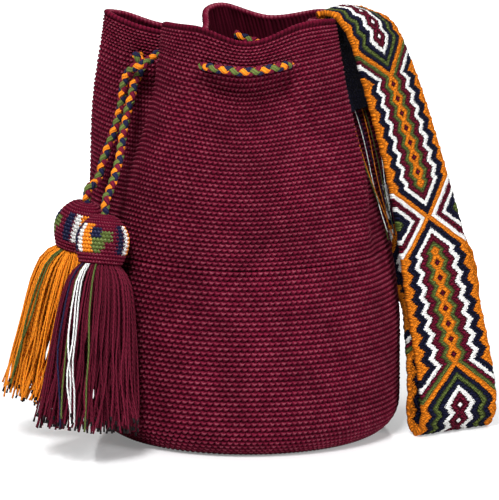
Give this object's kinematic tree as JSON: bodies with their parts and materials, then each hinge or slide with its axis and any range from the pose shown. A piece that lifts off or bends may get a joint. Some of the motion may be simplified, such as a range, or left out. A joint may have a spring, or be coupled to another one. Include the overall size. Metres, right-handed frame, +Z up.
{
  "type": "crochet bucket bag",
  "caption": "Crocheted bucket bag with a gathered mouth, a braided drawstring ending in yarn tassels, and a wide patterned woven shoulder strap.",
  "frame": {"origin": "middle of the flat base, on the floor that the bag stands on", "axes": "+Z up, -Y towards the front of the picture, +X to the right, where the strap hangs"},
  "size_m": [0.3608, 0.2521, 0.3158],
  "materials": {
    "burgundy_crochet": "matte crocheted cotton",
    "woven_strap": "matte woven cotton",
    "braided_cord": "matte braided cotton",
    "burgundy_yarn": "soft sheen of twisted yarn",
    "orange_yarn": "soft sheen of twisted yarn",
    "navy_yarn": "soft sheen of twisted yarn"
  },
  "bodies": {
    "root": {"bag_body": "burgundy_crochet", "shoulder_strap": "woven_strap", "drawstring": "braided_cord", "burgundy_cord_end": "braided_cord", "orange_cord_end": "braided_cord", "burgundy_tassel_cap": "burgundy_crochet", "orange_tassel_cap": "burgundy_crochet", "burgundy_tassel_binding": "navy_yarn", "orange_tassel_binding": "navy_yarn", "burgundy_tassel_skirt": "burgundy_yarn", "orange_tassel_skirt": "orange_yarn"}
  },
  "joints": []
}
